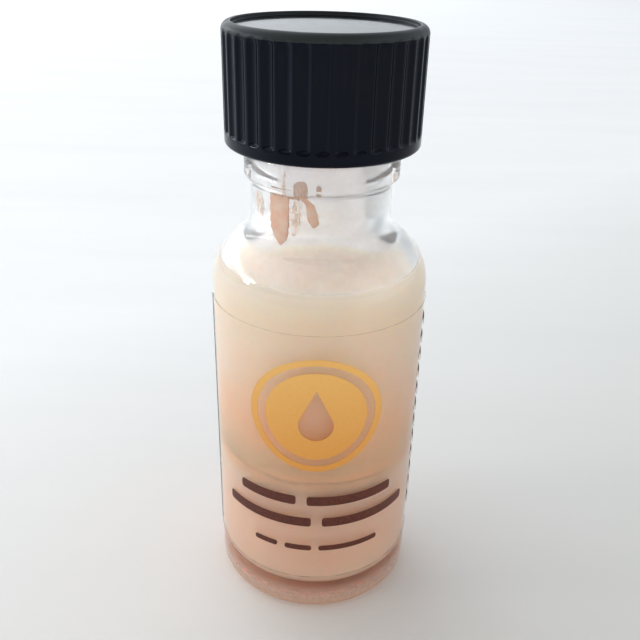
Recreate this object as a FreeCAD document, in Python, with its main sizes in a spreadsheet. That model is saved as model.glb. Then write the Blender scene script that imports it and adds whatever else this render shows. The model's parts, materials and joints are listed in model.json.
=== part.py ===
import FreeCAD, Part
import math
import os
import re

import Sketcher

# A 15 ml glass lotion bottle with a ribbed screw cap.
# The origin is the centre of the base, on the surface that the bottle stands on. +Z is up and -Y is the front.
# Azimuths are in degrees from the front (-Y) towards +X.

Vector = FreeCAD.Vector
document = FreeCAD.newDocument("lotion_bottle")

# Driving dimensions, in millimetres and degrees: alias, value, note.
DIMENSIONS = [
    ("body_radius", 12.5, "outside of the glass wall"),
    ("inside_radius", 11.0, "inside of the glass wall"),
    ("floor_height", 2.8, "inside bottom above the resting surface"),
    ("heel_round", 1.3, "outside radius between the wall and the base"),
    ("floor_round", 3.0, "inside radius between the wall and the floor"),
    ("push_up_radius", 8.5, "edge of the hollow under the base"),
    ("push_up_depth", 0.6, "depth of the hollow under the base"),
    ("shoulder_height", 41.3, "where the straight wall ends"),
    ("shoulder_centre", 6.0, "distance of the shoulder arc's centre from the axis"),
    ("shoulder_round", 6.5, "outside radius of the shoulder arc"),
    ("shoulder_inside", 5.0, "inside radius of the shoulder arc"),
    ("neck_blend", 3.0, "outside fillet between shoulder and neck"),
    ("bore_blend", 5.0, "inside fillet between shoulder and bore"),
    ("neck_radius", 7.85, "outside of the neck and of the finish under the thread"),
    ("bore_radius", 5.0, "bore of the neck"),
    ("bead_radius", 8.6, "transfer bead under the cap"),
    ("bead_low", 53.4, "underside of the bead"),
    ("bead_high", 56.9, "top of the bead"),
    ("bead_round", 0.7, "rounding of the bead's edges"),
    ("rim_height", 66.4, "sealing surface"),
    ("rim_round", 0.6, "rounding of the rim's edges"),
    ("thread_pitch", 3.175, "eight threads to the inch, right-hand"),
    ("thread_turns", 1.25, "length of each thread"),
    ("thread_root", 0.2, "how far each thread is sunk in its wall"),
    ("glass_thread_height", 60.4, "middle of the glass thread where it begins"),
    ("glass_thread_crest", 8.8, "crest radius of the glass thread"),
    ("glass_thread_base", 2.0, "width at the root"),
    ("glass_thread_land", 0.8, "width at the crest"),
    ("cap_thread_drop", 1.2, "how far the cap's thread lies under the glass thread"),
    ("cap_thread_crest", 8.15, "crest radius of the cap's thread"),
    ("cap_thread_base", 1.3, "width at the root"),
    ("cap_thread_land", 0.5, "width at the crest"),
    ("cap_radius", 10.6, "crests of the cap's ribs"),
    ("cap_low", 57.1, "open end of the cap"),
    ("cap_high", 69.4, "raised rim round the cap's top"),
    ("cap_edge", 0.85, "rounding of the top's outer edge"),
    ("cap_foot", 0.4, "rounding of the open end's outer edge"),
    ("cap_lead", 0.3, "chamfer inside the open end"),
    ("skirt_inside", 9.05, "inside of the cap's skirt"),
    ("recess_radius", 9.6, "sunk disc in the cap's top"),
    ("recess_depth", 0.4, "depth of the sunk disc"),
    ("flute_count", 36, "flutes round the skirt"),
    ("flute_depth", 0.3, "depth of a flute"),
    ("flute_cutter", 0.95, "radius of a flute's section"),
    ("flute_low", 58.4, "lower end of the flutes"),
    ("flute_high", 68.8, "upper end of the flutes"),
    ("liner_radius", 8.75, "both liner discs"),
    ("facing_thick", 0.15, "liner film that seals on the rim"),
    ("backing_thick", 0.95, "pulp disc behind the film"),
    ("contents_gap", 0.05, "clearance of the contents from the glass"),
    ("sediment_height", 20.1, "top of the settled powder"),
    ("fill_height", 43.4, "surface of the liquid"),
    ("residue_gap", 0.05, "clearance of the dried runs from the glass"),
    ("residue_thick", 0.15, "thickness of the dried runs"),
    ("residue_high", 54.0, "top of the dried smear"),
    ("residue_low", 52.7, "bottom of the dried smear"),
    ("residue_foot", 46.4, "lowest that a dried run may reach down the shoulder"),
    ("residue_left", -4.6, "left end of the dried smear"),
    ("residue_right", -0.9, "right end of the dried smear"),
    ("film_radius", 12.54, "inside of the label film"),
    ("film_thick", 0.07, "label film"),
    ("ink_thick", 0.03, "print on the label film"),
    ("label_low", 5.6, "lower edge of the label"),
    ("label_high", 39.8, "upper edge of the label"),
    ("label_start", -80.5, "azimuth where the label begins"),
    ("label_sweep", 350, "angle that the label wraps"),
    ("device_height", 29.6, "middle of the printed device"),
    ("device_radius", 7.4, "outside of the printed ring"),
    ("device_line", 0.75, "width of the printed ring"),
    ("disc_radius", 5.7, "printed disc inside the ring"),
    ("drop_radius", 2.0, "round end of the drop left clear in the disc"),
    ("drop_middle", 28.5, "centre of the drop's round end"),
    ("drop_point", 33.1, "point of the drop"),
    ("back_high", 36.2, "lower edge of the top printed line"),
    ("back_step", 2.45, "from one printed line to the next"),
    ("back_tall", 0.9, "height of a printed line"),
    ("back_start", 79, "azimuth where the printed lines begin"),
    ("back_sweep", 176, "angle of the longest printed line"),
]

# Front lines: azimuth where each bar begins, angle it covers, lower edge, height.
FRONT_BARS = [
    ("title_first", -44, 34, 17.1, 1.3),
    ("title_second", -4, 50, 17.1, 1.3),
    ("name_first", -54.5, 53, 13.9, 1.3),
    ("name_second", 4.5, 54, 13.9, 1.3),
    ("amount_first", -34.5, 14, 10.1, 0.75),
    ("amount_second", -16, 15, 10.1, 0.75),
    ("amount_third", 3, 35, 10.1, 0.75),
]
FRONT_COLUMNS = ("start", "sweep", "low", "tall")

# Dried runs inside the neck: middle across, width, lowest point of the straight part.
RUNS = [
    ("main_run", -3.73, 1.4, 47.8),
    ("faint_run", -2.35, 0.7, 48.8),
    ("short_run", -0.72, 1.0, 50.3),
]
RUN_COLUMNS = ("across", "width", "low")

# How much shorter each printed line on the back is than the longest, in degrees.
BACK_SHORTENING = (0, 9, 3, 62, 0, 5, 12, 4, 80, 2, 7, 50)


def all_dimensions():
    """The driving dimensions, with those of the bars and runs under names of their own."""
    rows = list(DIMENSIONS)
    for name, *figures in FRONT_BARS:
        rows += [(f"{name}_{column}", figure, "") for column, figure in zip(FRONT_COLUMNS, figures)]
    for name, *figures in RUNS:
        rows += [(f"{name}_{column}", figure, "") for column, figure in zip(RUN_COLUMNS, figures)]
    return rows


sheet = document.addObject("Spreadsheet::Sheet", "sizes")
aliases = set()
for row, (alias, figure, note) in enumerate(all_dimensions(), start=1):
    sheet.set(f"A{row}", alias)
    sheet.set(f"B{row}", str(figure))
    sheet.set(f"C{row}", note)
    sheet.setAlias(f"B{row}", alias)
    aliases.add(alias)
document.recompute()


def linked(formula):
    """A formula in which each alias of the sheet is a full reference."""
    return re.sub(r"[a-z_]+", lambda m: f"sizes.{m.group()}" if m.group() in aliases else m.group(), formula)


def value(formula):
    """What a formula comes to."""
    return float(sheet.evalExpression(linked(formula)))


def bind(target, **formulas):
    """Drives properties of an object from the sheet."""
    for name, formula in formulas.items():
        target.setExpression(name.replace("__", "."), linked(formula))


# Sketches -------------------------------------------------------------------------------------------------


def sketch_on(body, name, role="XZ_Plane"):
    """A sketch on one of its body's origin planes."""
    plane = next(feature for feature in body.Origin.OriginFeatures if feature.Role == role)
    sketch = body.newObject("Sketcher::SketchObject", name)
    sketch.AttachmentSupport = (plane, [""])
    sketch.MapMode = "FlatFace"
    return sketch


def place_point(sketch, curve, end, across, up):
    """Dimensions one end of a curve from the sketch's origin."""
    for kind, axis, formula in (("DistanceX", -2, across), ("DistanceY", -1, up)):
        if formula == "0":
            sketch.addConstraint(Sketcher.Constraint("PointOnObject", curve, end, axis))
            continue
        index = sketch.addConstraint(Sketcher.Constraint(kind, -1, 1, curve, end, value(formula)))
        sketch.setExpression(f"Constraints[{index}]", linked(formula))


def arc_between(start, end, radius):
    """The short arc from start to end. It bends left of the chord for a positive radius, right for a negative."""
    chord = end - start
    to_centre = math.sqrt(radius**2 - (chord.Length / 2) ** 2)
    left = Vector(-chord.y, chord.x, 0).normalize()
    centre = (start + end) / 2 + left * math.copysign(to_centre, radius)
    first, last = (start, end) if radius > 0 else (end, start)
    angles = [math.atan2(point.y - centre.y, point.x - centre.x) for point in (first, last)]
    circle = Part.Circle(centre, Vector(0, 0, 1), abs(radius))
    return Part.ArcOfCircle(circle, *angles)


def outline(sketch, corners):
    """A closed profile. Each corner is (across, up) or (across, up, radius) where an arc leaves it: a positive
    radius has its centre on the left of the way round."""
    points = [Vector(value(corner[0]), value(corner[1]), 0) for corner in corners]
    ends = []
    for index, corner in enumerate(corners):
        start, end = points[index], points[(index + 1) % len(points)]
        if len(corner) == 2:
            curve = sketch.addGeometry(Part.LineSegment(start, end))
            ends.append((curve, 1, 2))
            continue
        radius = value(corner[2])
        curve = sketch.addGeometry(arc_between(start, end, radius))
        place = sketch.addConstraint(Sketcher.Constraint("Radius", curve, abs(radius)))
        sketch.setExpression(f"Constraints[{place}]", linked(f"abs({corner[2]})"))
        ends.append((curve, 1, 2) if radius > 0 else (curve, 2, 1))
    for index, corner in enumerate(corners):
        before = ends[index - 1]
        here = ends[index]
        sketch.addConstraint(Sketcher.Constraint("Coincident", before[0], before[2], here[0], here[1]))
        place_point(sketch, here[0], here[1], corner[0], corner[1])


# Features -------------------------------------------------------------------------------------------------


def new_body(name):
    body = document.addObject("PartDesign::Body", name)
    body.Label = name
    return body


def revolved_body(name, corners):
    """A body turned about the bottle's axis."""
    body = new_body(name)
    sketch = sketch_on(body, name + "_profile")
    outline(sketch, corners)
    turned = body.newObject("PartDesign::Revolution", name + "_turned")
    turned.Profile = sketch
    turned.ReferenceAxis = (sketch, ["V_Axis"])
    turned.Angle = 360
    document.recompute()
    return body


def add_thread(body, name, corners):
    """A right-hand thread swept up from its section on the +X side, joined to the body."""
    sketch = sketch_on(body, name + "_section")
    outline(sketch, corners)
    thread = body.newObject("PartDesign::AdditiveHelix", name)
    thread.Profile = sketch
    thread.ReferenceAxis = (sketch, ["V_Axis"])
    thread.Mode = "pitch-height-angle"
    bind(thread, Pitch="thread_pitch", Height="thread_pitch * thread_turns")
    before = body.Shape.Volume
    document.recompute()
    if not body.Shape.Volume > before:
        raise RuntimeError(f"{name} added nothing")


def thread_section(wall, crest, middle, base, land):
    """A trapezoid from inside the wall to the crest. The wall and crest are formulas for radii."""
    return [
        (wall, f"{middle} - {base} / 2"),
        (crest, f"{middle} - {land} / 2"),
        (crest, f"{middle} + {land} / 2"),
        (wall, f"{middle} + {base} / 2"),
    ]


# Glass ----------------------------------------------------------------------------------------------------

# A fillet between shoulder and neck touches the shoulder's arc where both normals agree. These are that
# direction's two parts, first for the outside and then for the inside.
OUTER_LEAN = "((neck_radius + neck_blend - shoulder_centre) / (shoulder_round + neck_blend))"
OUTER_RISE = f"sqrt(1 - {OUTER_LEAN} ^ 2)"
INNER_LEAN = "((bore_radius + bore_blend - shoulder_centre) / (shoulder_inside + bore_blend))"
INNER_RISE = f"sqrt(1 - {INNER_LEAN} ^ 2)"
BORE_FOOT = f"(shoulder_height + (shoulder_inside + bore_blend) * {INNER_RISE})"


def glass_bottle():
    """Thick base, straight wall, round shoulder, neck, transfer bead and threaded finish, in one piece."""
    body = revolved_body(
        "glass_bottle",
        [
            ("0", "push_up_depth", "-(push_up_radius ^ 2 + push_up_depth ^ 2) / (2 * push_up_depth)"),
            ("push_up_radius", "0"),
            ("body_radius - heel_round", "0", "heel_round"),
            ("body_radius", "heel_round"),
            ("body_radius", "shoulder_height", "shoulder_round"),
            (
                f"shoulder_centre + shoulder_round * {OUTER_LEAN}",
                f"shoulder_height + shoulder_round * {OUTER_RISE}",
                "-neck_blend",
            ),
            ("neck_radius", f"shoulder_height + (shoulder_round + neck_blend) * {OUTER_RISE}"),
            ("neck_radius", "bead_low"),
            ("bead_radius - bead_round", "bead_low", "bead_round"),
            ("bead_radius", "bead_low + bead_round"),
            ("bead_radius", "bead_high - bead_round", "bead_round"),
            ("bead_radius - bead_round", "bead_high"),
            ("neck_radius", "bead_high"),
            ("neck_radius", "rim_height - rim_round", "rim_round"),
            ("neck_radius - rim_round", "rim_height"),
            ("bore_radius + rim_round", "rim_height", "rim_round"),
            ("bore_radius", "rim_height - rim_round"),
            ("bore_radius", BORE_FOOT, "bore_blend"),
            (
                f"shoulder_centre + shoulder_inside * {INNER_LEAN}",
                f"shoulder_height + shoulder_inside * {INNER_RISE}",
                "-shoulder_inside",
            ),
            ("inside_radius", "shoulder_height"),
            ("inside_radius", "floor_height + floor_round", "-floor_round"),
            ("inside_radius - floor_round", "floor_height"),
            ("0", "floor_height"),
        ],
    )
    section = thread_section(
        "neck_radius - thread_root",
        "glass_thread_crest",
        "glass_thread_height",
        "glass_thread_base",
        "glass_thread_land",
    )
    add_thread(body, "glass_thread", section)
    return body


# Cap and liner --------------------------------------------------------------------------------------------


def cut_flutes(body):
    """Round-bottomed, round-ended flutes all round the skirt, leaving narrow ribs between them."""
    axis = "cap_radius + flute_cutter - flute_depth"
    half_width = "sqrt(2 * flute_cutter * flute_depth - flute_depth ^ 2)"
    low, high = f"flute_low + {half_width}", f"flute_high - {half_width}"
    sketch = sketch_on(body, "flute_profile")
    corners = [
        (axis, f"{low} - flute_cutter", "flute_cutter"),
        (f"{axis} + flute_cutter", low),
        (f"{axis} + flute_cutter", high, "flute_cutter"),
        (axis, f"{high} + flute_cutter"),
    ]
    outline(sketch, corners)
    ends = [Vector(value(axis), value(end), 0) for end in (low, high)]
    line = sketch.addGeometry(Part.LineSegment(*ends), True)
    for end, height in enumerate((low, high), start=1):
        place_point(sketch, line, end, axis, height)
    before = body.Shape.Volume
    flute = body.newObject("PartDesign::Groove", "flute")
    flute.Profile = sketch
    flute.ReferenceAxis = (sketch, ["Axis0"])
    flute.Angle = 360
    document.recompute()
    if not body.Shape.Volume < before:
        raise RuntimeError("the flute cut nothing")
    flutes = body.newObject("PartDesign::PolarPattern", "flutes")
    flutes.Originals = [flute]
    flutes.Axis = (sketch, ["V_Axis"])
    flutes.Angle = 360
    bind(flutes, Occurrences="flute_count")
    body.Tip = flutes
    document.recompute()


def screw_cap():
    """One moulded shell: fluted skirt, smooth foot, raised rim round a sunk top, and the thread inside."""
    ceiling = "rim_height + facing_thick + backing_thick"
    body = revolved_body(
        "screw_cap",
        [
            ("0", ceiling),
            ("skirt_inside", ceiling),
            ("skirt_inside", "cap_low + cap_lead"),
            ("skirt_inside + cap_lead", "cap_low"),
            ("cap_radius - cap_foot", "cap_low", "cap_foot"),
            ("cap_radius", "cap_low + cap_foot"),
            ("cap_radius", "cap_high - cap_edge", "cap_edge"),
            ("cap_radius - cap_edge", "cap_high"),
            ("recess_radius", "cap_high"),
            ("recess_radius", "cap_high - recess_depth"),
            ("0", "cap_high - recess_depth"),
        ],
    )
    cut_flutes(body)
    section = thread_section(
        "skirt_inside + thread_root",
        "cap_thread_crest",
        "glass_thread_height - cap_thread_drop",
        "cap_thread_base",
        "cap_thread_land",
    )
    add_thread(body, "cap_thread", section)
    return body


def liner_disc(name, low, thick):
    """A plain disc in the top of the cap."""
    return revolved_body(
        name,
        [
            ("0", low),
            ("liner_radius", low),
            ("liner_radius", f"{low} + {thick}"),
            ("0", f"{low} + {thick}"),
        ],
    )


# Contents -------------------------------------------------------------------------------------------------


def lotion_sediment():
    """Powder settled on the floor, its lower edge following the rounded corner of the glass."""
    return revolved_body(
        "lotion_sediment",
        [
            ("0", "floor_height + contents_gap"),
            (
                "inside_radius - floor_round",
                "floor_height + contents_gap",
                "floor_round - contents_gap",
            ),
            ("inside_radius - contents_gap", "floor_height + floor_round"),
            ("inside_radius - contents_gap", "sediment_height"),
            ("0", "sediment_height"),
        ],
    )


def lotion_liquid():
    """Cloudy liquid from the powder up to just above the start of the shoulder."""
    arc = "(shoulder_inside - contents_gap)"
    return revolved_body(
        "lotion_liquid",
        [
            ("0", "sediment_height"),
            ("inside_radius - contents_gap", "sediment_height"),
            ("inside_radius - contents_gap", "shoulder_height", arc),
            (
                f"shoulder_centre + sqrt({arc} ^ 2 - (fill_height - shoulder_height) ^ 2)",
                "fill_height",
            ),
            ("0", "fill_height"),
        ],
    )


# Rings, bars and runs made from cylinders -----------------------------------------------------------------


def upright_cylinder(name, radius, low, tall, start="0", sweep="360"):
    """A cylinder about the bottle's axis, or a slice of one from a start azimuth through a sweep."""
    solid = document.addObject("Part::Cylinder", name)
    bind(solid, Radius=radius, Height=tall, Angle=sweep, Placement__Base__z=low)
    bind(solid, Placement__Rotation__Angle=f"{start} - 90")
    return solid


def level_cylinder(name, radius, across, up):
    """A cylinder that lies along Y on the bottle's front half."""
    solid = document.addObject("Part::Cylinder", name)
    solid.Placement = FreeCAD.Placement(Vector(), FreeCAD.Rotation(Vector(1, 0, 0), 90))
    bind(solid, Radius=radius, Height="body_radius * 2")
    bind(solid, Placement__Base__x=across, Placement__Base__z=up)
    return solid


def cut(name, base, tool):
    result = document.addObject("Part::Cut", name)
    result.Base = base
    result.Tool = tool
    return result


def gather(kind, name, pieces):
    """Joins (Part::MultiFuse) or intersects (Part::MultiCommon) the pieces."""
    result = document.addObject(kind, name)
    result.Shapes = pieces
    return result


def sleeve(name, inner, thick, low, tall, start="0", sweep="360"):
    """A thin sleeve about the bottle's axis, or a strip of one."""
    outside = upright_cylinder(name + "_outside", f"{inner} + {thick}", low, tall, start, sweep)
    inside = upright_cylinder(name + "_inside", inner, low, tall)
    return cut(name, outside, inside)


def label_film():
    """Clear film wrapped nearly all the way round."""
    return sleeve(
        "label_film",
        "film_radius",
        "film_thick",
        "label_low",
        "label_high - label_low",
        "label_start",
        "label_sweep",
    )


def drop_bar():
    """A plain drop with a round lower end and a point on top, as a bar along Y."""
    lean = "(drop_radius / (drop_point - drop_middle))"
    reach = f"drop_radius * sqrt(1 - {lean} ^ 2)"
    side = f"drop_middle + drop_radius * {lean}"
    sketch = document.addObject("Sketcher::SketchObject", "drop_outline")
    sketch.Placement = FreeCAD.Placement(Vector(), FreeCAD.Rotation(Vector(1, 0, 0), 90))
    corners = [
        ("0", "drop_middle - drop_radius", "drop_radius"),
        (reach, side),
        ("0", "drop_point"),
        (f"-{reach}", side, "drop_radius"),
    ]
    outline(sketch, corners)
    bar = document.addObject("Part::Extrusion", "drop_extrusion")
    bar.Base = sketch
    bar.DirMode = "Custom"
    bar.Dir = Vector(0, -1, 0)
    bar.Solid = True
    bind(bar, LengthFwd="body_radius * 2")
    return bar


INK_RADIUS = "film_radius + film_thick"


def label_emblem():
    """The printed device on the front: a thin ring round a disc with a plain drop left clear in it."""
    ring = cut(
        "device_ring",
        level_cylinder("ring_outside", "device_radius", "0", "device_height"),
        level_cylinder("ring_inside", "device_radius - device_line", "0", "device_height"),
    )
    disc = cut("device_disc", level_cylinder("disc_bar", "disc_radius", "0", "device_height"), drop_bar())
    device = gather("Part::MultiFuse", "device_bars", [ring, disc])
    layer = sleeve("device_layer", INK_RADIUS, "ink_thick", "label_low", "label_high - label_low")
    return gather("Part::MultiCommon", "label_emblem", [device, layer])


def label_front_bars():
    """Plain bars where the front of the label has printed words."""
    bars = []
    for name, *_ in FRONT_BARS:
        start, sweep, low, tall = (f"{name}_{column}" for column in FRONT_COLUMNS)
        bars.append(sleeve(name, INK_RADIUS, "ink_thick", low, tall, start, sweep))
    return gather("Part::MultiFuse", "label_front_bars", bars)


def label_back_bars():
    """Plain bars where the back of the label has small print."""
    bars = []
    for row, shorter in enumerate(BACK_SHORTENING):
        low = f"back_high - {row} * back_step"
        sweep = f"back_sweep - {shorter}"
        bars.append(
            sleeve(f"back_bar_{row + 1}", INK_RADIUS, "ink_thick", low, "back_tall", "back_start", sweep)
        )
    return gather("Part::MultiFuse", "label_back_bars", bars)


def residue_layer():
    """A thin skin just off the glass, down the bore and on over the fillet into the shoulder."""
    near, far = "residue_gap", "(residue_gap + residue_thick)"
    near_arc, far_arc = f"(bore_blend + {near})", f"(bore_blend + {far})"
    drop = f"({BORE_FOOT} - residue_foot)"
    return revolved_body(
        "residue_layer",
        [
            (f"bore_radius + bore_blend - sqrt({far_arc} ^ 2 - {drop} ^ 2)", "residue_foot"),
            (f"bore_radius + bore_blend - sqrt({near_arc} ^ 2 - {drop} ^ 2)", "residue_foot", f"-{near_arc}"),
            (f"bore_radius - {near}", BORE_FOOT),
            (f"bore_radius - {near}", "residue_high"),
            (f"bore_radius - {far}", "residue_high"),
            (f"bore_radius - {far}", BORE_FOOT, far_arc),
        ],
    )


def dried_run(name):
    """A block with a round lower end, through the front half of the neck."""
    across, width, low = (f"{name}_{column}" for column in RUN_COLUMNS)
    block = document.addObject("Part::Box", name + "_block")
    bind(block, Length=width, Width="body_radius", Height=f"residue_high - {low}")
    bind(block, Placement__Base__x=f"{across} - {width} / 2", Placement__Base__z=low)
    bind(block, Placement__Base__y="-body_radius")
    return [block, level_cylinder(name + "_end", f"{width} / 2", across, low)]


def dried_residue():
    """A dried smear on the front of the bore, with runs hanging from it."""
    smear = document.addObject("Part::Box", "smear_block")
    bind(smear, Length="residue_right - residue_left", Width="body_radius", Height="residue_high - residue_low")
    bind(smear, Placement__Base__x="residue_left", Placement__Base__z="residue_low")
    bind(smear, Placement__Base__y="-body_radius")
    blocks = [smear]
    for name, *_ in RUNS:
        blocks += dried_run(name)
    joined = gather("Part::MultiFuse", "residue_blocks", blocks)
    return gather("Part::MultiCommon", "dried_residue", [joined, residue_layer()])


# Build and write ------------------------------------------------------------------------------------------


def checked(pieces):
    """Stops on a failed object or a bad shape, before anything is written."""
    document.recompute()
    for item in document.Objects:
        if "Invalid" in item.State or "Error" in item.State:
            raise RuntimeError(f"{item.Name} failed: {item.State}")
    for piece in pieces:
        shape = piece.Shape
        if shape.isNull() or not shape.isValid() or not shape.Solids:
            raise RuntimeError(f"{piece.Label} has no valid solid")
    return pieces


pieces = checked(
    [
        glass_bottle(),
        screw_cap(),
        liner_disc("liner_facing", "rim_height", "facing_thick"),
        liner_disc("liner_backing", "rim_height + facing_thick", "backing_thick"),
        lotion_sediment(),
        lotion_liquid(),
        dried_residue(),
        label_film(),
        label_emblem(),
        label_front_bars(),
        label_back_bars(),
    ]
)
os.makedirs("parts", exist_ok=True)
for piece in pieces:
    piece.Shape.exportStep(f"parts/{piece.Label}.step")
    print(f"{piece.Label:18} {len(piece.Shape.Solids)} solids, {piece.Shape.Volume:9.2f} mm3")
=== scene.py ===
import json
import math

import bpy
import numpy as np
from mathutils import Matrix, Vector


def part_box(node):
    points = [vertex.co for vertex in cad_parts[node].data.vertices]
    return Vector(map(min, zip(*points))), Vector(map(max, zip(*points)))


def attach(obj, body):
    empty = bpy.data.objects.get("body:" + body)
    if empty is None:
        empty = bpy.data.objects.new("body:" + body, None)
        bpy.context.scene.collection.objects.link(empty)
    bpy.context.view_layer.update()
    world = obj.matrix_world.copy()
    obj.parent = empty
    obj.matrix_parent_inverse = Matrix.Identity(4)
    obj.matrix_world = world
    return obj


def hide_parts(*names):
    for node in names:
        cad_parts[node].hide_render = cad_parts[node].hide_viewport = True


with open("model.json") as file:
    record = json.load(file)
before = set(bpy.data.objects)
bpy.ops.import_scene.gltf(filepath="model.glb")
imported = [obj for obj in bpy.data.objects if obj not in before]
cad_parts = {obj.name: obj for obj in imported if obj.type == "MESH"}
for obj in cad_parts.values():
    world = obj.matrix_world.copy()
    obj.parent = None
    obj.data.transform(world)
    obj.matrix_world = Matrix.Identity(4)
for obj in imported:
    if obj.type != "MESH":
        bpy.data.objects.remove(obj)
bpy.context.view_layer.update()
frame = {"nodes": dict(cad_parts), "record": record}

# Sizes are in millimetres and degrees here, and become metres where a mesh is made.
# Azimuths go from the front (-Y) towards +X.
MM = 0.001
TINY = 1e-6


def box_mm(node):
    """The two corners of a CAD node's box, in millimetres."""
    low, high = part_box(node)
    return low / MM, high / MM


def mount_radius(name):
    """The radius that the record gives for a mount, in millimetres."""
    return next(m["dims"]["r_mm"] for m in frame["record"]["mounts"] if m["name"] == name)


# What the frame says -------------------------------------------------------------------------------------

CONTENTS_GAP = 0.05
glass_high = box_mm("glass_bottle")[1]
liquid_high = box_mm("lotion_liquid")[1]
sediment_low, sediment_high = box_mm("lotion_sediment")
film_low, film_high = box_mm("label_film")
cap_low, cap_high = box_mm("screw_cap")
liner_high = box_mm("liner_backing")[1]

BODY_RADIUS = glass_high.x
RIM_HEIGHT = glass_high.z
BORE_RADIUS = mount_radius("neck_opening")
THREAD_RADIUS = mount_radius("neck_finish")
INSIDE_RADIUS = liquid_high.x + CONTENTS_GAP
FLOOR_HEIGHT = sediment_low.z - CONTENTS_GAP
FILL_HEIGHT = liquid_high.z
SEDIMENT_HEIGHT = sediment_high.z
CAP_RADIUS = cap_high.x
CAP_LOW, CAP_HIGH = cap_low.z, cap_high.z
CEILING = liner_high.z

# Glass
GLASS_COLUMNS, GLASS_IOR = 256, 1.52
HEEL = 1.3
FLOOR_ROUND = 3.0
PUSH_UP = (8.5, 0.6)
SHOULDER_CENTRE = (6.0, 41.3)
SHOULDER_ROUND = BODY_RADIUS - SHOULDER_CENTRE[0]
SHOULDER_INSIDE = INSIDE_RADIUS - SHOULDER_CENTRE[0]
NECK_BLEND, NECK_BLEND_INSIDE = 3.0, 5.0
NECK_RADIUS = 7.85
BEAD_RADIUS = 8.6
BEAD_LOW, BEAD_HIGH, BEAD_ROUND = 53.4, 56.9, 0.7
RIM_ROUND = 0.6
HAZE_LOW = BEAD_LOW - 0.3

# Threads. The half widths are at a thread's root and at its crest.
PITCH = 3.175
TURNS = 1.25
GLASS_THREAD_START = 60.4
CAP_THREAD_START = GLASS_THREAD_START - 1.2
CAP_THREAD_RADIUS = 8.15
THREAD_FADE = 24.0
GLASS_THREAD_HALVES = (1.0, 0.4)
CAP_THREAD_HALVES = (0.65, 0.25)

# Cap
SKIRT_INSIDE = 9.05
RECESS_RADIUS, RECESS_DEPTH = 9.6, 0.4
CAP_EDGE, CAP_FOOT, CAP_LEAD = 0.85, 0.4, 0.3
CAP_LIP = 0.12
FLUTES, FLUTE_COLUMNS = 36, 14
FLUTE_DEPTH, FLUTE_CUTTER = 0.3, 0.95
FLUTE_HALF_WIDTH = math.sqrt(2 * FLUTE_CUTTER * FLUTE_DEPTH - FLUTE_DEPTH**2)
FLUTE_LOW, FLUTE_HIGH = 58.4, 68.8
FLUTE_FADE = 0.3

# Label. A bar is (start azimuth, sweep in degrees, height of its lower edge, how tall it is).
LABEL_START, LABEL_SWEEP = -80.5, 350.0
FILM_INSIDE, FILM_OUTSIDE = 12.53, 12.61
INK_OUTSIDE = 12.64
FRONT_BARS = [
    (-44, 34, 17.1, 1.3),
    (-4, 50, 17.1, 1.3),
    (-54.5, 53, 13.9, 1.3),
    (4.5, 54, 13.9, 1.3),
    (-34.5, 14, 10.1, 0.75),
    (-16, 15, 10.1, 0.75),
    (3, 35, 10.1, 0.75),
]
RING_OUTSIDE, RING_INSIDE, DISC_RADIUS = 7.4, 6.65, 5.7
DROP_RADIUS, DROP_OFFSET, DROP_POINT = 2.0, 1.1, 4.6
BACK_START, BACK_SWEEP = 79.0, 176.0
BACK_HIGH, BACK_STEP, BACK_TALL = 36.2, 2.45, 0.9
BACK_SHORTENING = (0, 9, 3, 62, 0, 5, 12, 4, 80, 2, 7, 50)
BACK_BARS = [
    (BACK_START, BACK_SWEEP - shorter, BACK_HIGH - row * BACK_STEP, BACK_TALL)
    for row, shorter in enumerate(BACK_SHORTENING)
]

# Liquid and powder, which reach a hair into the glass
WALL_OVERLAP = 0.03
CONTENTS_COLUMNS = 192
BOTTOM_RINGS, TOP_RINGS, SHARP_ANGLE = 8, 24, 35
SURFACE_DROP, BOUNDARY_DROP = 0.3, 0.45
MENISCUS_RISE, MENISCUS_REACH = 0.55, 1.6 / 3

# Dried lotion, and the spine of each mark: (azimuth, half width in degrees, height) from its top
RESIDUE_THICK, RESIDUE_SINK = 0.14, 0.02
MAIN_RUN = [
    (-48, 13, 53.1), (-49, 13.5, 51.6), (-49, 13.5, 50.4),
    (-47, 12.5, 48.9), (-42, 9, 47.8), (-37.5, 2, 46.9),
]
SHORT_RUN = [
    (-20, 3.2, 53.4), (-16.5, 3.8, 52.6), (-11.3, 4.8, 51.7),
    (-8.8, 6, 50.6), (-7.5, 5.6, 49.9), (-6, 1.5, 49.4),
]
FAINT_RUN = [(-24, 3, 52.6), (-27.5, 5.5, 51), (-27, 5, 49.6), (-26.9, 2, 48.2)]
SMEAR = [(-40, 18, 53.4), (-40, 18.5, 53.0), (-40, 17, 52.6)]
UPPER_STREAK = [(-39.5, 0.9, 55.1), (-40, 1.5, 54.4), (-41, 2.5, 53.4)]
BLOB = [(-20.5, 3, 54.4), (-22, 7.5, 54.0), (-22, 8.5, 53.6), (-21, 5, 53.1)]
DOT = [(-2.6, 1.6, 54.1), (-2.4, 3.4, 53.8), (-2.5, 2.0, 53.5)]
WASH = [(-86, 8, 51.8), (-87, 12, 50.8), (-84, 10, 49.9), (-76, 4, 49.2)]

# Light from the room: direction, where the glow starts (a cosine), strength and colour
ROOM_GLOWS = [
    ((-0.9, 0.4, 0.25), -0.2, 1.0, (1.0, 1.0, 0.99)),
    ((-0.1, 1.0, 0.1), 0.0, 0.64, (0.92, 1.0, 1.06)),
    ((0.9, 0.1, 0.3), 0.0, 0.15, (0.96, 1.0, 1.02)),
    ((1.0, 0.0, 0.1), 0.5, 0.76, (0.97, 1.0, 1.02)),
    ((0.5, -0.85, 0.15), 0.3, 0.45, (1.0, 0.98, 0.96)),
    ((0.0, 0.0, 1.0), 0.3, 0.22, (1.0, 1.0, 1.0)),
]

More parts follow.
